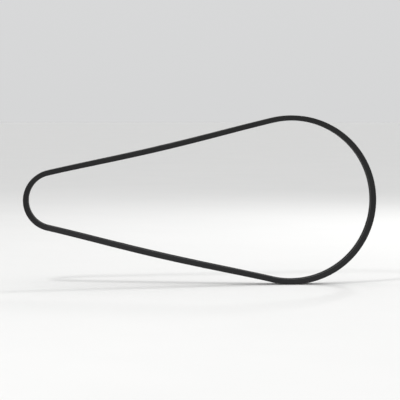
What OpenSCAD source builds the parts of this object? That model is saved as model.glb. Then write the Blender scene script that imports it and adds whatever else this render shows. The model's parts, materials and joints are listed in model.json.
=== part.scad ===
// Matched pair of wrapped classical V belts, in the shape they take round a large flywheel and a
// small motor sheave. Millimetres, +Z up, the sheave axes along Y.
// The origin is on the flywheel's axis, midway between the two belts. The motor end is at -X.
// Each belt is built from the outside in: two fabric cover plies, top rubber, two cushion sheets
// that hold one row of tension cords between them, and base rubber. Each ply is wrapped right round
// and laps over itself: the outer one on the belt's inner face, the inner one on its top.

/* [Drive] */
// Pitch diameter of the flywheel's grooves
flywheel_pitch_d = 360; // [300:5:420]
// Pitch diameter of the motor sheave's grooves
motor_pitch_d = 125; // [112:1:160]
// Pitch length of each belt
pitch_length = 1821; // [1700:1:2100]
// Distance between the middles of the two grooves
groove_pitch = 19; // [18.5:0.5:25]

/* [Belt section] */
// Width across the top
top_w = 17; // [16.5:0.1:17.5]
// Width at the pitch line
pitch_w = 14; // [13.6:0.1:14.4]
// Height of the section
belt_h = 11; // [10.5:0.1:11.5]
// Angle between the two flanks
wedge_angle = 40; // [38:1:42]

/* [Layers] */
// Thickness of one ply of the fabric cover
ply_t = 0.6; // [0.4:0.05:0.7]
// Width of the lap where a ply's two edges overlap
lap_w = 5; // [3:0.5:5.5]
// Thickness of one sheet of cushion rubber
cushion_t = 0.95; // [0.8:0.05:1.2]
// Diameter of a tension cord
cord_d = 1.1; // [0.8:0.05:1.1]
// Distance between neighbouring turns of the cord winding
cord_pitch = 1.25; // [1.2:0.05:1.6]
// Smallest rubber edge between the last cord and the cover
cord_edge = 0.1; // [0.1:0.05:0.4]
// Room round a cord in its channel
cord_play = 0.01; // [0:0.005:0.02]
// How much each face of a straight strand is drawn in from the arcs, so that their ends bite
strand_ease = 0.01; // [0.01:0.005:0.02]
// How far a straight strand runs into the arc at each end
strand_bite = 0.5; // [0.3:0.1:0.6]

/* [Hidden] */

$fn = 96;

// Pitch radii, and the centre distance at which the pitch length closes the loop
wheel_r = flywheel_pitch_d / 2;
motor_r = motor_pitch_d / 2;
centre_distance = solved_distance(pitch_length / 2 - wheel_r - motor_r, 8);
taper = strand_taper(centre_distance);
strand_length = centre_distance * cos(taper);

// Heights above (+) and below (-) the pitch line, where the cords run
flank_slope = tan(wedge_angle / 2);
top_u = (top_w - pitch_w) / 2 / flank_slope;
bottom_u = top_u - belt_h;
cover_t = 2 * ply_t;

// The turns of the winding, counted each way from the middle one
side_turns = floor((half_width(0, cover_t) - cord_d / 2 - cord_edge) / cord_pitch);

// S-twist and Z-twist cord lie side by side in turn, so that their twists cancel
s_first = -side_turns;
z_first = 1 - side_turns;

// Places of the two belts along the sheave axes
front_y = -groove_pitch / 2;
rear_y = groove_pitch / 2;

// The angle between a straight strand and the line of centres
function strand_taper(distance) = asin((wheel_r - motor_r) / distance);

// The pitch length of the loop at a given centre distance
function loop_length(distance) =
    let (a = strand_taper(distance))
    2 * distance * cos(a)
    + PI * wheel_r * (180 + 2 * a) / 180
    + PI * motor_r * (180 - 2 * a) / 180;

// Newton's steps towards the centre distance: the length grows by 2 cos(taper) for each millimetre
function solved_distance(guess, steps) =
    steps == 0 ? guess
    : solved_distance(
        guess - (loop_length(guess) - pitch_length) / (2 * cos(strand_taper(guess))),
        steps - 1
    );

// Half the width of the section at height u, less what a cover of thickness inset takes
function half_width(u, inset) = pitch_w / 2 + u * flank_slope - inset / cos(wedge_angle / 2);

// The section between two heights, x outwards from the pitch line and y across the belt
module trapezoid(low_u, high_u, inset) {
    polygon([
        [low_u, -half_width(low_u, inset)],
        [high_u, -half_width(high_u, inset)],
        [high_u, half_width(high_u, inset)],
        [low_u, half_width(low_u, inset)]
    ]);
}

// The whole section, shrunk on every side by inset
module whole_section(inset) {
    trapezoid(bottom_u + inset, top_u - inset, inset);
}

// A strip of the section between two heights, as wide on both sides of the middle
module strip(low_u, high_u, half_w) {
    translate([low_u, -half_w])
        square([high_u - low_u, 2 * half_w]);
}

// One layer of rubber inside the cover
module rubber_section(low_u, high_u) {
    trapezoid(low_u + $ease, high_u - $ease, cover_t + $ease);
}

// Top rubber, with the step that the inner ply's lap presses into it
module top_section() {
    difference() {
        rubber_section(cushion_t, top_u - cover_t);
        strip(top_u - cover_t - ply_t - $ease, top_u, lap_w / 2 + $ease);
    }
}

// Base rubber, with the step under the outer ply's lap, where the inner ply stands up over it
module base_section() {
    difference() {
        rubber_section(bottom_u + cover_t, -cushion_t);
        strip(bottom_u, bottom_u + cover_t + ply_t + $ease, lap_w / 2 + ply_t + $ease);
    }
}

// One ply of the cover, without its lap: the fabric is wrapped right round the section
module ply_section(inset) {
    difference() {
        whole_section(inset + $ease);
        whole_section(inset + ply_t - $ease);
    }
}

// The outer ply, whose first edge is tucked under its second one on the belt's inner face
module outer_ply_section() {
    ply_section(0);
    strip(bottom_u + ply_t / 2, bottom_u + cover_t - $ease, lap_w / 2 - $ease);
}

// The inner ply, which steps over the outer ply's tucked edge and laps on the belt's top
module inner_ply_section() {
    difference() {
        union() {
            ply_section(ply_t);
            strip(
                bottom_u + 1.5 * ply_t, bottom_u + cover_t + ply_t - $ease,
                lap_w / 2 + ply_t - $ease
            );
        }
        strip(bottom_u, bottom_u + cover_t + $ease, lap_w / 2 + $ease);
    }
    strip(top_u - cover_t - ply_t + $ease, top_u - 1.5 * ply_t, lap_w / 2 - $ease);
}

// The winding cut across, one circle for every second turn from the first
module turn_circles(first, d) {
    for (turn = [first : 2 : side_turns])
        translate([0, turn * cord_pitch])
            circle(d = d);
}

module cord_section(first) {
    turn_circles(first, cord_d - 2 * $ease);
}

// A cushion sheet with the half-round channels that the cords press into it
module cushion_section(low_u, high_u) {
    channel_d = cord_d + 2 * cord_play + 2 * $ease;
    difference() {
        rubber_section(low_u, high_u);
        turn_circles(s_first, channel_d);
        turn_circles(z_first, channel_d);
    }
}

// Carries a section once round the loop: flywheel arc, motor arc and the two straight strands
module loop(y) {
    motor_centre = [-centre_distance, 0, 0];
    translate([0, y, 0])
        rotate([90, 0, 0]) {
            arc([0, 0, 0], wheel_r, -90 - taper, 180 + 2 * taper)
                children();
            arc(motor_centre, motor_r, 90 + taper, 180 - 2 * taper)
                children();
            strand([0, 0, 0], wheel_r, -90 - taper)
                children();
            strand(motor_centre, motor_r, 90 + taper)
                children();
        }
}

// The stretch that lies on a sheave
module arc(centre, radius, from_angle, wrap_angle) {
    $ease = 0;
    translate(centre)
        rotate_extrude(start = from_angle, angle = wrap_angle)
            translate([radius, 0])
                children();
}

// One straight strand, from the tangent point at this angle on a sheave to the other sheave
module strand(centre, radius, angle) {
    $ease = strand_ease;
    translate(centre)
        rotate([0, 0, angle])
            translate([radius, strand_bite, 0])
                rotate([90, 0, 0])
                    linear_extrude(height = strand_length + 2 * strand_bite)
                        children();
}

module outer_cover(y) {
    color("#1d1d1e")
        loop(y)
            outer_ply_section();
}

module inner_cover(y) {
    color("#2b2a28")
        loop(y)
            inner_ply_section();
}

module top_rubber(y) {
    color("#161616")
        loop(y)
            top_section();
}

module upper_cushion(y) {
    color("#4a3a2a")
        loop(y)
            cushion_section(0, cushion_t);
}

module s_twist_cord(y) {
    color("#d9cfb4")
        loop(y)
            cord_section(s_first);
}

module z_twist_cord(y) {
    color("#c9b98f")
        loop(y)
            cord_section(z_first);
}

module lower_cushion(y) {
    color("#4a3a2a")
        loop(y)
            cushion_section(-cushion_t, 0);
}

module base_rubber(y) {
    color("#121212")
        loop(y)
            base_section();
}

outer_cover(front_y);  // front_outer_cover
inner_cover(front_y);  // front_inner_cover
top_rubber(front_y);  // front_top_rubber
upper_cushion(front_y);  // front_upper_cushion
s_twist_cord(front_y);  // front_s_twist_cord
z_twist_cord(front_y);  // front_z_twist_cord
lower_cushion(front_y);  // front_lower_cushion
base_rubber(front_y);  // front_base_rubber
outer_cover(rear_y);  // rear_outer_cover
inner_cover(rear_y);  // rear_inner_cover
top_rubber(rear_y);  // rear_top_rubber
upper_cushion(rear_y);  // rear_upper_cushion
s_twist_cord(rear_y);  // rear_s_twist_cord
z_twist_cord(rear_y);  // rear_z_twist_cord
lower_cushion(rear_y);  // rear_lower_cushion
base_rubber(rear_y);  // rear_base_rubber
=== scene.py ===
import cmath
import json
import math

import bpy
import numpy as np
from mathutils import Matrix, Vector, noise


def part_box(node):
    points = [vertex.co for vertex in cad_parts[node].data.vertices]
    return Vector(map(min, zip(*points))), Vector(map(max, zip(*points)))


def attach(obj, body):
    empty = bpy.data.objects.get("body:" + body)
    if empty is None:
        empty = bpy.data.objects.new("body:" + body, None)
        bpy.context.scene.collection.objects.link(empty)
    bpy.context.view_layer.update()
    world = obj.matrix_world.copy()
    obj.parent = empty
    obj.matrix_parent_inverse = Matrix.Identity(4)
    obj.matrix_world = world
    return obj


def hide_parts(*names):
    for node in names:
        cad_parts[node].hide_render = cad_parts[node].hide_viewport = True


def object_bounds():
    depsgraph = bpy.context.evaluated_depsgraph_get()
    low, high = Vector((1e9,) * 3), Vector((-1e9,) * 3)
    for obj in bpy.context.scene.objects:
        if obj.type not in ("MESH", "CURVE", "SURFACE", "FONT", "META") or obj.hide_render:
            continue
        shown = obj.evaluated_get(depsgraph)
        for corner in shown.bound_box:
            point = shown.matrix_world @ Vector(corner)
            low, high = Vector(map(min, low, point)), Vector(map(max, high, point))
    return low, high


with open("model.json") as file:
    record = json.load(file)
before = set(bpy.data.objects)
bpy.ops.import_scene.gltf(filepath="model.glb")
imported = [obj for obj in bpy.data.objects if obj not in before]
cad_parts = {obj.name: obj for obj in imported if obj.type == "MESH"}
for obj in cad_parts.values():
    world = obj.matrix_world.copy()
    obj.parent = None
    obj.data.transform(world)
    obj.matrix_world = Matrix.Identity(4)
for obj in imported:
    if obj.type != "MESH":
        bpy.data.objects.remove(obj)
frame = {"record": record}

# A pair of wrapped V belts in their running loop. Every layer of each belt is swept along one pitch
# line, which hangs a little between the sheaves. The frame says where the sheaves sit.
# Lengths are in metres. In a section, a complex number is (height above the pitch line) + 1j * (place
# across the belt), and outlines run anticlockwise.

cad_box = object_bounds()
MM = 0.001

# ---------------------------------------------------------------- sizes

TOP_W = 17 * MM
PITCH_W = 14 * MM
BELT_H = 11 * MM
HALF_WEDGE = math.radians(20)
TOP_U = (TOP_W - PITCH_W) / 2 / math.tan(HALF_WEDGE)
BOTTOM_U = TOP_U - BELT_H

PLY_T = 0.6 * MM
COVER_T = 2 * PLY_T
LAP_HALF = 2.5 * MM
CUSHION_T = 0.95 * MM
CORD_R = 0.55 * MM
CORD_PITCH = 1.25 * MM
CORD_LEAD = 2 * CORD_PITCH
CORD_EDGE = 0.1 * MM
# Neighbouring layers stay this far apart, so that no two faces lie in one plane
PLAY = 0.01 * MM

# The mould leaves the cover with round corners
TOP_ROUND = 1.1 * MM
BOTTOM_ROUND = 0.9 * MM
# The outer ply's cut edge shows on the inner face, as a low step that isn't quite straight. The lap
# dies away over a short width round its hidden edge
LAP_RISE = 0.28 * MM
LAP_WANDER = 0.22 * MM
LAP_WANDER_LENGTH = 6 * MM
LAP_FADE_BEFORE = 1 * MM
LAP_FADE_AFTER = 1.5 * MM
# The ply is joined from bias-cut panels, with slanting splices at even distances
PANELS = 3
SPLICE_WIDTH = 7 * MM
SPLICE_RISE = 0.2 * MM
SPLICE_EDGE = 1.2 * MM
SPLICE_FADE = 2 * MM
# How far the rear belt's splices are shifted back along it from the front belt's, in metres
SPLICE_SHIFT = 0.17
# The threads cross the belt's length at this angle, and lie this far apart
BIAS = math.radians(56)
THREAD_PITCH = 0.95 * MM
# On the small sheave the inner face is squeezed into fine creases, which drift by some radians
CREASE_PITCH = 4.6 * MM
CREASE_RISE = 0.11 * MM
CREASE_DRIFT = 2.2
CREASE_DRIFT_LENGTH = 9 * MM
# The cloth is a little uneven along the belt
SWELL_RISE = 0.05 * MM
SWELL_LENGTH = 38 * MM
# The most that the cloth's swells and splices stand out of the plain section
COVER_PROUD = 0.3 * MM
# Depths below the top: under the first the groove rubs the flanks fully, above the second not at all
RUB_FADE_LOW = 2.6 * MM
RUB_FADE_HIGH = 1.2 * MM
# The top edges are worn, and lightened as a painted highlight, this far round
CORNER_WEAR_AND_HIGHLIGHT = 2.2 * MM
# A change of bend is spread this far each way by the belt's stiffness
STIFF_REACH = 14 * MM

# Rounding inside the cover, and spacing of the points along an outline
PLY_ROUND = 0.12 * MM
RUBBER_ROUND = 0.1 * MM
COVER_SPACING = 0.95 * MM
CHANNEL_SPACING = 0.14 * MM
# Steps round a loop: on the flywheel, on the motor sheave and along a strand
COVER_STEPS = (1.3 * MM, 0.75 * MM, 1.7 * MM)
HOLLOW_STEPS = (4 * MM, 3 * MM, 20 * MM)
LAYER_STEPS = (3 * MM, 2 * MM, 8 * MM)
CUSHION_STEPS = (3 * MM, 2 * MM, 6 * MM)
CORD_STEPS = (3 * MM, 2 * MM, 10 * MM)
LENGTH_STEPS = (1 * MM, 1 * MM, 2 * MM)

# ---------------------------------------------------------------- the loop

mounts = {mount["name"]: mount for mount in frame["record"]["mounts"]}
WHEEL_R = mounts["flywheel_seat"]["dims"]["r_mm"] * MM - BOTTOM_U
MOTOR_R = mounts["motor_seat"]["dims"]["r_mm"] * MM - BOTTOM_U
MOTOR_X = mounts["motor_seat"]["pos_m"][0]
TAPER = math.asin((WHEEL_R - MOTOR_R) / -MOTOR_X)
BODIES = {"front": "front_belt", "rear": "rear_belt"}
# How far each belt's strands hang at mid span: no two belts of a pair are equally taut
SAGS = {"front": 4.2 * MM, "rear": 3.4 * MM}


class Loop:
    """The pitch line once round, anticlockwise as seen from the front."""

    def __init__(self, sag, wheel_step, motor_step, strand_step):
        half = math.pi / 2 + TAPER
        self.points = []
        self.bends = []
        self.arc(0, WHEEL_R, -half, half, wheel_step)
        self.strand((0, WHEEL_R), (MOTOR_X, MOTOR_R), half, sag, strand_step)
        self.arc(MOTOR_X, MOTOR_R, half, 2 * math.pi - half, motor_step)
        self.strand((MOTOR_X, MOTOR_R), (0, WHEEL_R), -half, sag, strand_step)
        xz = np.array(self.points)
        ahead = np.roll(xz, -1, axis=0)
        gaps = np.linalg.norm(ahead - xz, axis=1)
        self.length = gaps.sum()
        self.distance = np.cumsum(gaps) - gaps
        tangents = ahead - np.roll(xz, 1, axis=0)
        tangents /= np.linalg.norm(tangents, axis=1, keepdims=True)
        still = np.zeros(len(xz))
        self.places = np.column_stack((xz[:, 0], still, xz[:, 1]))
        self.normals = np.column_stack((tangents[:, 1], still, -tangents[:, 0]))
        self.bends = self.eased(np.array(self.bends), STIFF_REACH)

    @staticmethod
    def steps(length, step):
        """Even shares of a length from 0 up to, but not including, 1."""
        count = math.ceil(length / step)
        return [k / count for k in range(count)]

    def arc(self, x, radius, start, end, step):
        for share in self.steps(radius * (end - start), step):
            angle = start + (end - start) * share
            self.points.append((x + radius * math.cos(angle), radius * math.sin(angle)))
            self.bends.append(1 / radius)

    def strand(self, leaves, meets, angle, sag, step):
        """From one sheave (its x and radius) to the next, hanging by sag in the middle."""
        outward = Vector((math.cos(angle), math.sin(angle)))
        start = Vector((leaves[0], 0)) + outward * leaves[1]
        end = Vector((meets[0], 0)) + outward * meets[1]
        for share in self.steps((end - start).length, step):
            place = start.lerp(end, share)
            hang = sag * 16 * share ** 2 * (1 - share) ** 2
            self.points.append((place.x, place.y - hang))
            self.bends.append(0)

    def eased(self, bends, reach):
        """The belt's stiffness spreads each change of bend over a short length."""
        shifted = [
            np.interp(self.distance + shift, self.distance, bends, period=self.length)
            for shift in np.linspace(-reach, reach, 9)
        ]
        return np.mean(shifted, axis=0)


# ---------------------------------------------------------------- section outlines


def half_width(height, inset):
    return PITCH_W / 2 + height * math.tan(HALF_WEDGE) - inset / math.cos(HALF_WEDGE)


def section(low, high, inset, low_step=None, high_step=None):
    """Corners of a layer. A step is a half width and how far the layer is cut back there."""
    below, above = half_width(low, inset), half_width(high, inset)
    corners = [complex(low, -below), complex(high, -above)]
    if high_step:
        half, floor = high_step[0], high - high_step[1]
        corners += [complex(high, -half), complex(floor, -half)]
        corners += [complex(floor, half), complex(high, half)]
    corners += [complex(high, above), complex(low, below)]
    if low_step:
        half, floor = low_step[0], low + low_step[1]
        corners += [complex(low, half), complex(floor, half)]
        corners += [complex(floor, -half), complex(low, -half)]
    return corners


def whole_section(inset, low_step=None, high_step=None):
    return section(BOTTOM_U + inset, TOP_U - inset, inset, low_step, high_step)


def rounded(corners, radii, steps):
    """Each corner as an arc: lists of (place, outward normal)."""
    arcs = []
    for k, corner in enumerate(corners):
        arriving = corner - corners[k - 1]
        arriving /= abs(arriving)
        turn = cmath.phase((corners[(k + 1) % len(corners)] - corner) / arriving)
        radius = math.copysign(radii[k], turn)
        centre = corner + arriving * (1j * radius - radii[k] * math.tan(abs(turn) / 2))
        normals = [-1j * arriving * cmath.rect(1, turn * n / steps) for n in range(steps + 1)]
        arcs.append([(centre + radius * normal, normal) for normal in normals])
    return arcs


def between(start, end, spacing):
    """(place, outward normal) after start and before end, about spacing apart."""
    count = max(1, round(abs(end - start) / spacing))
    normal = -1j * (end - start) / abs(end - start)
    return [(start + (end - start) * k / count, normal) for k in range(1, count)]


def plain_outline(corners, radius):
    return [point for arc in rounded(corners, [radius] * len(corners), 2) for point in arc]


def cushion_outline(low, high):
    """A cushion sheet, with points along the pitch line for the channels of the winding."""
    arcs = rounded(section(low, high, COVER_T + PLAY), [RUBBER_ROUND] * 4, 1)
    points = []
    for arc, after in zip(arcs, arcs[1:] + arcs[:1]):
        start, end = arc[-1][0], after[0][0]
        points += arc
        if max(abs(start.real), abs(end.real)) < 2 * PLAY:
            points += between(start, end, CHANNEL_SPACING)
    return points


def cover_outline():
    """The outer face of the cover, from the lap's cut edge once round to just beside it."""
    corner_radii = [BOTTOM_ROUND, TOP_ROUND, TOP_ROUND, BOTTOM_ROUND]
    arcs = rounded(whole_section(0), corner_radii, 4)
    inward = complex(-1, 0)
    cut_edge = complex(BOTTOM_U, LAP_HALF)
    beside = cut_edge + LAP_RISE / 4 * 1j
    # Both ends lie on the inner face, between the last corner and the first
    points = [(cut_edge, inward)]
    for arc in arcs:
        points += between(points[-1][0], arc[0][0], COVER_SPACING)
        points += arc
    points += between(points[-1][0], beside, COVER_SPACING)
    return points + [(beside, inward)]


# ---------------------------------------------------------------- relief of the faces


def soft_step(value, start, end):
    share = np.clip((value - start) / (end - start), 0, 1)
    return share * share * (3 - 2 * share)


def wander(loop, scale, seed):
    """Smooth noise from about -1 to 1 along the belt, which meets itself after one turn."""
    radius = loop.length / (2 * math.pi * scale)
    turns = 2 * math.pi * loop.distance / loop.length
    return np.array([noise.noise((radius * math.cos(a), radius * math.sin(a), seed)) for a in turns])


def cover_relief(loop, outline, seed):
    """How far the cover stands proud at each station and point, and where its cloth edges are."""
    places = np.array([place for place, _ in outline])
    across = np.append(0, np.cumsum(np.abs(np.diff(places))))
    along = loop.distance[:, None]
    lap_w = 2 * LAP_HALF
    lap = LAP_RISE * (1 - soft_step(across, lap_w - LAP_FADE_BEFORE, lap_w + LAP_FADE_AFTER))
    lap[-1] = 0
    splice = (along - across / math.tan(BIAS) + seed * SPLICE_SHIFT) % (loop.length / PANELS)
    falls = soft_step(splice, SPLICE_WIDTH, SPLICE_WIDTH + SPLICE_FADE)
    raised = soft_step(splice, 0, SPLICE_EDGE) * (1 - falls)
    drift = CREASE_DRIFT * wander(loop, CREASE_DRIFT_LENGTH, seed + 3)[:, None]
    creases = np.sin(2 * math.pi * along / CREASE_PITCH + drift)
    squeezed = np.clip(places.real / BOTTOM_U, 0, 1) ** 2
    bent_hard = (loop.bends * MOTOR_R)[:, None] ** 2
    swell = SWELL_RISE * wander(loop, SWELL_LENGTH, seed + 7)[:, None]
    proud = lap + SPLICE_RISE * raised + CREASE_RISE * bent_hard * squeezed * creases + swell
    edges = 4 * raised * (1 - raised)
    edges[:, 0] = 1
    return proud, edges


def channel_relief(loop, outline):
    """The half-round channels that the winding presses into a cushion sheet."""
    places = np.array([place for place, _ in outline])
    first = CORD_LEAD * loop.distance[:, None] / loop.length - CORD_LIMIT
    turn = np.maximum(np.round((places.imag - first) / CORD_PITCH), 0)
    centre = first + turn * CORD_PITCH
    depth = np.sqrt(np.maximum((CORD_R + PLAY) ** 2 - (places.imag - centre) ** 2, 0))
    pressed = (centre <= CORD_LIMIT) & (np.abs(places.real) < 2 * PLAY)
    return np.where(pressed, -depth, 0)


def bent(heights, widths, bends):
    """A bent section narrows above the pitch line, swells below it and curls across."""
    give = 0.45
    bends = bends[:, None]
    return heights + give / 3 * bends * widths ** 2, widths * (1 - give * bends * heights)


# ---------------------------------------------------------------- mesh making


class Tubes:
    """Gathers swept tubes of quads, with metres along and across the belt as their UV map."""

    def __init__(self):
        self.count = 0
        self.places = []
        self.faces = []
        self.uvs = []
        self.zones = []

    def add(self, spots, along, across, closed=True, inside=False, zones=None):
        """spots is stations x points x 3. across says one more, and so does along if it closes."""
        rings, points = spots.shape[:2]
        rows = rings if closed else rings - 1
        ring, point = np.meshgrid(np.arange(rows), np.arange(points), indexing="ij")
        order = [(0, 0), (0, 1), (1, 1), (1, 0)]
        if inside:
            order.reverse()
        corners = [(ring + r) % rings * points + (point + p) % points for r, p in order]
        uvs = [np.stack((along[ring + r], across[point + p]), axis=-1) for r, p in order]
        self.faces.append(self.count + np.stack(corners, axis=-1).reshape(-1, 4))
        self.uvs.append(np.stack(uvs, axis=2).reshape(-1, 2))
        if not closed:
            self.cap(0, points, along[0], reverse=True)
            self.cap((rings - 1) * points, points, along[-1])
        self.places.append(spots.reshape(-1, 3))
        self.zones.append(np.zeros((rings * points, 4)) if zones is None else zones.reshape(-1, 4))
        self.count += rings * points

    def cap(self, start, points, along, reverse=False):
        """An end face, as a ladder of quads between the two sides of the ring."""
        rungs = np.arange(points // 2 - 1)
        quads = np.stack((rungs, rungs + 1, points - 2 - rungs, points - 1 - rungs), axis=-1)
        if reverse:
            quads = quads[:, ::-1]
        self.faces.append(self.count + start + quads)
        self.uvs.append(np.tile((along, 0.0), (quads.size, 1)))

    def sweep(self, loop, middle_y, outline, relief=None, sideways=None, zones=None, inside=False):
        """Carries a closed outline once round the loop."""
        places = np.array([place for place, _ in outline])
        normals = np.array([normal for _, normal in outline])
        across = np.append(0, np.cumsum(np.abs(np.diff(places, append=places[:1]))))
        heights, widths = bent(places.real, places.imag, loop.bends)
        if relief is not None:
            heights = heights + relief * normals.real
            widths = widths + relief * normals.imag
        if sideways is not None:
            widths = widths + sideways
        spots = loop.places[:, None] + heights[..., None] * loop.normals[:, None]
        spots[..., 1] += middle_y + widths
        self.add(spots, np.append(loop.distance, loop.length), across, inside=inside, zones=zones)
        return self

    def mesh(self, name):
        mesh = bpy.data.meshes.new(name)
        faces = np.concatenate(self.faces)
        mesh.from_pydata(np.concatenate(self.places).tolist(), [], faces.tolist())
        mesh.polygons.foreach_set("use_smooth", [True] * len(faces))
        uv_map = mesh.uv_layers.new(name="belt")
        uv_map.data.foreach_set("uv", np.concatenate(self.uvs).astype(np.float32).ravel())
        zones = mesh.attributes.new("zones", "FLOAT_COLOR", "POINT")
        zones.data.foreach_set("color", np.concatenate(self.zones).astype(np.float32).ravel())
        mesh.validate()
        return mesh


def add_piece(tubes, side, layer, material):
    """Puts a layer in the place of its CAD node, on its belt's body."""
    piece = bpy.data.objects.new(f"{side}_belt_{layer}", tubes.mesh(layer))
    bpy.context.scene.collection.objects.link(piece)
    piece.data.materials.append(material)
    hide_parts(f"{side}_{layer}")
    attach(piece, BODIES[side])


# ---------------------------------------------------------------- materials


class Shader:
    """Short ways to build one material's node tree."""

    def __init__(self, name):
        self.material = bpy.data.materials.new(name)
        self.material.use_nodes = True
        self.tree = self.material.node_tree
        self.surface = self.tree.nodes["Principled BSDF"]

    def add(self, kind, **settings):
        node = self.tree.nodes.new(kind)
        for key, value in settings.items():
            setattr(node, key, value)
        return node

    def plug(self, socket, value):
        if isinstance(value, bpy.types.NodeSocket):
            self.tree.links.new(value, socket)
        elif isinstance(value, tuple):
            socket.default_value = (*value, 1)
        else:
            socket.default_value = value

    def finish(self, colour, roughness, normal, gloss=0.5):
        """Sets the surface. gloss is the same all over, so it is set as a plain value."""
        self.plug(self.surface.inputs["Base Color"], colour)
        self.plug(self.surface.inputs["Roughness"], roughness)
        self.plug(self.surface.inputs["Normal"], normal)
        self.surface.inputs["Specular IOR Level"].default_value = gloss
        return self.material

    def math(self, operation, *values):
        node = self.add("ShaderNodeMath", operation=operation)
        for socket, value in zip(node.inputs, values):
            self.plug(socket, value)
        return node.outputs[0]

    def product(self, first, *others):
        for other in others:
            first = self.math("MULTIPLY", first, other)
        return first

    def mix(self, share, first, second):
        node = self.add("ShaderNodeMix", data_type="RGBA")
        self.plug(node.inputs["Factor"], share)
        self.plug(node.inputs["A"], first)
        self.plug(node.inputs["B"], second)
        return node.outputs["Result"]

    def ramp(self, value, low, high, start=0.0, end=1.0):
        """value mapped smoothly from low..high to start..end."""
        node = self.add("ShaderNodeMapRange", interpolation_type="SMOOTHSTEP")
        for socket, setting in zip(node.inputs, (value, low, high, start, end)):
            self.plug(socket, setting)
        return node.outputs[0]

    def noise(self, place, scale, detail=3.0, roughness=0.55):
        node = self.add("ShaderNodeTexNoise")
        self.plug(node.inputs["Vector"], place)
        node.inputs["Scale"].default_value = scale
        node.inputs["Detail"].default_value = detail
        node.inputs["Roughness"].default_value = roughness
        return node.outputs["Fac"]

    def bump(self, height, distance, strength=1.0, over=None):
        node = self.add("ShaderNodeBump")
        node.inputs["Strength"].default_value = strength
        node.inputs["Distance"].default_value = distance
        self.plug(node.inputs["Height"], height)
        if over is not None:
            self.plug(node.inputs["Normal"], over)
        return node.outputs["Normal"]

    def split(self, vector):
        node = self.add("ShaderNodeSeparateXYZ")
        self.plug(node.inputs[0], vector)
        return list(node.outputs)

    def place(self):
        return self.add("ShaderNodeTexCoord").outputs["Object"]

    def belt_place(self):
        """Metres along and across the belt."""
        return self.split(self.add("ShaderNodeUVMap", uv_map="belt").outputs["UV"])[:2]

    def zones(self):
        """From 0 to 1: rubbed by the groove, on a top edge, on the inner face, on a cloth edge."""
        attribute = self.add("ShaderNodeAttribute", attribute_name="zones")
        return self.split(attribute.outputs["Color"]) + [attribute.outputs["Alpha"]]


def weave(shader, length):
    """Height of a plain weave laid on the bias, from 0 in the holes to 1 on the crowns."""
    along, across = shader.belt_place()
    turns = 2 * round(length * math.sin(BIAS) / THREAD_PITCH / 2)
    lengthwise = shader.product(along, math.pi * turns / length)
    sideways = shader.product(across, math.pi * math.cos(BIAS) / THREAD_PITCH)
    warp = shader.math("SINE", shader.math("ADD", lengthwise, sideways))
    weft = shader.math("SINE", shader.math("SUBTRACT", lengthwise, sideways))

    def thread(own, other, lift):
        rides = shader.product(shader.math("SIGN", own), other)
        level = shader.math("MULTIPLY_ADD", rides, lift, 0.6)
        return shader.product(shader.math("ABSOLUTE", own), level)

    return shader.math("MAXIMUM", thread(warp, weft, 0.4), thread(weft, warp, -0.4))


def rub_marks(shader):
    """Fine streaks that run along the belt: noise drawn out lengthwise and packed close across."""
    lengthwise_scale = 30.0
    crosswise_scale = 2400.0
    x, _, z = shader.split(shader.place())
    _, across = shader.belt_place()
    stretched = shader.add("ShaderNodeCombineXYZ")
    shader.plug(stretched.inputs[0], shader.product(x, lengthwise_scale))
    shader.plug(stretched.inputs[1], shader.product(across, crosswise_scale))
    shader.plug(stretched.inputs[2], shader.product(z, lengthwise_scale))
    return shader.noise(stretched.outputs[0], 1.0, 2.0)


def cover_material(length):
    """Rubberised bias cloth, nearly black: dull and open on top, glazed where the groove rubs it."""
    shader = Shader("rubberised_cover_fabric")
    rubbed, top_edge, inner_face, cloth_edge = shader.zones()
    place = shader.place()
    height = weave(shader, length)
    cloud = shader.noise(place, 26.0, 4.0)
    grain = shader.noise(place, 900.0, 2.0)
    streaks = rub_marks(shader)

    colour = shader.mix(height, (0.0025, 0.0025, 0.0027), (0.0130, 0.0130, 0.0134))
    colour = shader.mix(shader.ramp(cloud, 0.35, 0.7, 0.0, 0.4), colour, (0.0150, 0.0146, 0.0142))
    glaze = shader.product(rubbed, shader.ramp(cloud, 0.25, 0.75, 0.6, 1.0))
    glazed = shader.mix(streaks, (0.0060, 0.0062, 0.0066), (0.0145, 0.0147, 0.0155))
    colour = shader.mix(shader.product(glaze, 0.7), colour, glazed)
    # Lighter cloth on the top edges is partly wear and partly a painted highlight along the rounded
    # corners; at the lap's cut edge it is frayed threads
    scuffs_and_highlight_patches = shader.ramp(shader.noise(place, 140.0, 4.0), 0.48, 0.7, 0.1, 0.8)
    frayed_and_highlit_edges = shader.math("MAXIMUM", top_edge, shader.product(cloth_edge, 0.8))
    colour = shader.mix(shader.product(frayed_and_highlit_edges, scuffs_and_highlight_patches, 0.7), colour, (0.070, 0.067, 0.062))
    settled = shader.ramp(shader.noise(place, 60.0, 5.0, 0.7), 0.5, 0.8)
    hollow = shader.math("SUBTRACT", 1.1, height)
    shelter = shader.math("MULTIPLY_ADD", inner_face, 0.1, 0.1)
    dust = shader.product(settled, hollow, shelter, shader.math("SUBTRACT", 1.0, rubbed))
    colour = shader.mix(dust, colour, (0.16, 0.148, 0.13))

    shine = shader.math("MULTIPLY_ADD", streaks, 0.2, -0.34)
    rough = shader.math("MULTIPLY_ADD", grain, 0.14, 0.55)
    rough = shader.math("MULTIPLY_ADD", glaze, shine, rough)
    rough = shader.math("MULTIPLY_ADD", top_edge, -0.16, rough)
    relief = shader.product(height, shader.math("MULTIPLY_ADD", glaze, -0.45, 1.0))
    fine = shader.bump(grain, 0.05 * MM, 0.5)
    return shader.finish(colour, rough, shader.bump(relief, 0.2 * MM, over=fine), gloss=0.24)


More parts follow.
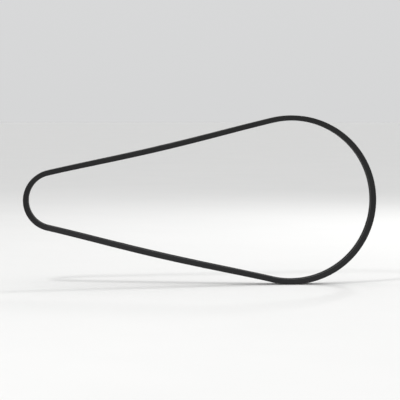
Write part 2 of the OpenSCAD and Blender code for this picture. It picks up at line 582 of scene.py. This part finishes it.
def inner_ply_material(length):
    """The same cloth, not glazed by the mould: browner, with open threads."""
    shader = Shader("inner_cover_fabric")
    height = weave(shader, length)
    tint = shader.ramp(shader.noise(shader.place(), 45.0), 0.4, 0.7, 0.0, 0.4)
    threads = shader.mix(height, (0.012, 0.011, 0.010), (0.075, 0.066, 0.055))
    colour = shader.mix(tint, threads, (0.05, 0.04, 0.032))
    rough = shader.math("MULTIPLY_ADD", height, 0.2, 0.68)
    return shader.finish(colour, rough, shader.bump(height, 0.2 * MM))


def rubber_material(name, dark, light, rough):
    """Cured rubber: cloudy, finely grained, with a few specks of filler."""
    shader = Shader(name)
    place = shader.place()
    cloud = shader.ramp(shader.noise(place, 60.0, 5.0), 0.35, 0.7)
    specks = shader.ramp(shader.noise(place, 700.0, 2.0), 0.68, 0.76, 0.0, 0.3)
    colour = shader.mix(specks, shader.mix(cloud, dark, light), (0.12, 0.11, 0.1))
    grain = shader.bump(shader.noise(place, 420.0, 4.0), 0.12 * MM, 0.6)
    return shader.finish(colour, shader.math("MULTIPLY_ADD", cloud, 0.15, rough), grain)


def cord_material(name, lay):
    """Dipped polyester cord: three yarns laid one way or the other, as lay's sign says."""
    shader = Shader(name)
    along, across = shader.belt_place()
    yarns = 3
    lay_length = 7 * MM
    around = shader.product(across, yarns / CORD_R)
    forward = shader.product(along, lay * yarns * 2 * math.pi / lay_length)
    crown = shader.ramp(shader.math("SINE", shader.math("ADD", around, forward)), -1.0, 0.6)
    dip = shader.ramp(shader.noise(shader.place(), 120.0), 0.3, 0.7)
    fibre = shader.mix(dip, (0.62, 0.50, 0.33), (0.48, 0.33, 0.19))
    colour = shader.mix(crown, (0.16, 0.10, 0.06), fibre)
    rough = shader.math("MULTIPLY_ADD", dip, 0.2, 0.5)
    return shader.finish(colour, rough, shader.bump(crown, 0.12 * MM))


# ---------------------------------------------------------------- layers of one belt


def cover_zones(outline, edges):
    """What each point of the cover is: rubbed, a top edge, the inner face, a cloth edge."""
    places = np.array([place for place, _ in outline])
    normals = np.array([normal for _, normal in outline])
    on_flank = np.abs(normals.imag) > 0.8
    unrubbed = soft_step(places.real, TOP_U - RUB_FADE_LOW, TOP_U - RUB_FADE_HIGH)
    rubbed = on_flank * (1 - unrubbed)
    # Near the top corners: worn cloth, and a painted highlight in the cover's colour
    corner = TOP_U + 1j * np.sign(places.imag) * half_width(TOP_U, 0)
    top_edge = np.maximum(0, 1 - np.abs(places - corner) / CORNER_WEAR_AND_HIGHLIGHT)
    inner_face = (normals.real < -0.9).astype(float)
    even = [np.broadcast_to(zone, edges.shape) for zone in (rubbed, top_edge, inner_face)]
    return np.stack(even + [edges], axis=-1)


def outer_cover(middle_y, sag, seed):
    fine = Loop(sag, *COVER_STEPS)
    outline = cover_outline()
    proud, edges = cover_relief(fine, outline, seed)
    cut_edge = np.zeros(proud.shape)
    cut_edge[:, [0, 1, -2, -1]] = LAP_WANDER * wander(fine, LAP_WANDER_LENGTH, seed)[:, None]
    tubes = Tubes().sweep(fine, middle_y, outline, proud, cut_edge, cover_zones(outline, edges))
    hollow = plain_outline(whole_section(PLY_T, (LAP_HALF, PLY_T)), PLY_ROUND)
    return tubes.sweep(Loop(sag, *HOLLOW_STEPS), middle_y, hollow, inside=True)


def inner_cover(middle_y, sag):
    loop = Loop(sag, *LAYER_STEPS)
    outside = plain_outline(whole_section(PLY_T + PLAY, (LAP_HALF + PLAY, PLY_T)), PLY_ROUND)
    hollow = whole_section(COVER_T, (LAP_HALF + PLY_T, PLY_T), (LAP_HALF, PLY_T))
    tubes = Tubes().sweep(loop, middle_y, outside)
    return tubes.sweep(loop, middle_y, plain_outline(hollow, PLY_ROUND), inside=True)


def rubber(middle_y, sag, low, high, **steps):
    corners = section(low + PLAY, high - PLAY, COVER_T + PLAY, **steps)
    outline = plain_outline(corners, RUBBER_ROUND)
    return Tubes().sweep(Loop(sag, *LAYER_STEPS), middle_y, outline)


def cushion(middle_y, sag, low, high):
    loop = Loop(sag, *CUSHION_STEPS)
    outline = cushion_outline(low, high)
    return Tubes().sweep(loop, middle_y, outline, channel_relief(loop, outline))


def winding(middle_y, sag, first_w):
    """One cord wound round and round, moving sideways by the lead in each turn, with cut ends."""
    sides = 10
    loop = Loop(sag, *CORD_STEPS)
    stations = len(loop.distance)
    station = np.arange(int((CORD_LIMIT - first_w) / CORD_LEAD * stations))
    at = station % stations
    travelled = loop.distance[at] + station // stations * loop.length
    w = first_w + CORD_LEAD * travelled / loop.length
    ring = CORD_R * np.exp(2j * math.pi * np.arange(sides) / sides)
    spots = loop.places[at][:, None] + ring.real[:, None] * loop.normals[at][:, None]
    spots[..., 1] += middle_y + w[:, None] + ring.imag
    around = 2 * math.pi * CORD_R * np.arange(sides + 1) / sides
    tubes = Tubes()
    tubes.add(spots, travelled, around, closed=False)
    return tubes


CORD_LIMIT = half_width(0, COVER_T) - CORD_R - CORD_EDGE
LOOP_LENGTH = Loop(0, *LENGTH_STEPS).length
CLOTH = cover_material(LOOP_LENGTH)
OPEN_CLOTH = inner_ply_material(LOOP_LENGTH)
BODY_RUBBER = rubber_material("body_rubber", (0.010, 0.010, 0.010), (0.022, 0.021, 0.020), 0.6)
CUSHION_RUBBER = rubber_material("cushion_rubber", (0.030, 0.020, 0.014), (0.065, 0.046, 0.032), 0.5)
S_CORD = cord_material("s_twist_polyester", 1)
Z_CORD = cord_material("z_twist_polyester", -1)

for seed, side in enumerate(BODIES, 1):
    low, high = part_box(side + "_outer_cover")
    at = ((low.y + high.y) / 2, SAGS[side])
    top = rubber(*at, CUSHION_T, TOP_U - COVER_T, high_step=(LAP_HALF + PLAY, PLY_T))
    base = rubber(*at, BOTTOM_U + COVER_T, -CUSHION_T, low_step=(LAP_HALF + PLY_T + PLAY, PLY_T))
    add_piece(outer_cover(*at, seed), side, "outer_cover", CLOTH)
    add_piece(inner_cover(*at), side, "inner_cover", OPEN_CLOTH)
    add_piece(top, side, "top_rubber", BODY_RUBBER)
    add_piece(cushion(*at, PLAY, CUSHION_T), side, "upper_cushion", CUSHION_RUBBER)
    add_piece(winding(*at, -CORD_LIMIT), side, "s_twist_cord", S_CORD)
    add_piece(winding(*at, CORD_PITCH - CORD_LIMIT), side, "z_twist_cord", Z_CORD)
    add_piece(cushion(*at, -CUSHION_T, -PLAY), side, "lower_cushion", CUSHION_RUBBER)
    add_piece(base, side, "base_rubber", BODY_RUBBER)

# ---------------------------------------------------------------- studio


def floor_material():
    """Pale painted board with a very faint mottle."""
    shader = Shader("studio_floor")
    place = shader.place()
    colour = shader.mix(shader.noise(place, 3.0, 4.0), (0.80, 0.80, 0.79), (0.84, 0.835, 0.825))
    grain = shader.bump(shader.noise(place, 260.0), 0.1 * MM, 0.2)
    return shader.finish(colour, 0.7, grain, gloss=0.24)


def add_floor(radius=40.0, sides=96):
    """A round floor under the belts, wide enough to reach the horizon in any view."""
    turns = [2 * math.pi * k / sides for k in range(sides)]
    height = cad_box[0].z - COVER_PROUD
    rim = [(CENTRE.x + radius * math.cos(a), radius * math.sin(a), height) for a in turns]
    mesh = bpy.data.meshes.new("floor")
    mesh.from_pydata(rim, [], [tuple(range(sides))])
    mesh.materials.append(floor_material())
    floor = bpy.data.objects.new("floor", mesh)
    bpy.context.scene.collection.objects.link(floor)


def add_light(name, offset, size, watts):
    """A round soft light that looks at the middle of the belts."""
    data = bpy.data.lights.new(name, "AREA")
    data.shape = "DISK"
    data.size = size
    data.energy = watts
    light = bpy.data.objects.new(name, data)
    light.location = CENTRE + Vector(offset)
    light.rotation_euler = (-Vector(offset)).to_track_quat("-Z", "Y").to_euler()
    bpy.context.scene.collection.objects.link(light)


def add_world(horizon=0.68, zenith=0.9):
    """Soft light from all round, a little stronger from above. At the horizon it is the floor's tone."""
    world = bpy.data.worlds.new("studio")
    world.use_nodes = True
    nodes, links = world.node_tree.nodes, world.node_tree.links
    split = nodes.new("ShaderNodeSeparateXYZ")
    links.new(nodes.new("ShaderNodeTexCoord").outputs["Generated"], split.inputs[0])
    rise = nodes.new("ShaderNodeMapRange")
    rise.inputs["To Min"].default_value = horizon
    rise.inputs["To Max"].default_value = zenith
    links.new(split.outputs["Z"], rise.inputs["Value"])
    sky = nodes["Background"]
    sky.inputs["Color"].default_value = (0.99, 0.995, 1.0, 1)
    links.new(rise.outputs["Result"], sky.inputs["Strength"])
    bpy.context.scene.world = world


def add_camera(azimuth, elevation, distance, fill):
    """A camera at the photograph's angle, with the belts filling a share of the picture's width."""
    a, e = math.radians(azimuth), math.radians(elevation)
    back = Vector((math.sin(a) * math.cos(e), -math.cos(a) * math.cos(e), math.sin(e)))
    data = bpy.data.cameras.new("camera")
    data.lens = data.sensor_width * distance * fill / (cad_box[1].x - cad_box[0].x)
    camera = bpy.data.objects.new("camera", data)
    camera.location = CENTRE + back * distance
    camera.rotation_euler = (-back).to_track_quat("-Z", "Y").to_euler()
    bpy.context.scene.collection.objects.link(camera)
    bpy.context.scene.camera = camera


CENTRE = (cad_box[0] + cad_box[1]) / 2
add_floor()
add_world()
add_light("key", (-1.2, -1.9, 2.6), 0.6, 32)
add_light("back", (1.3, 2.1, 1.8), 0.6, 22)
add_camera(azimuth=-2.2, elevation=3.2, distance=3.6, fill=0.88)
bpy.context.scene.view_settings.view_transform = "Standard"
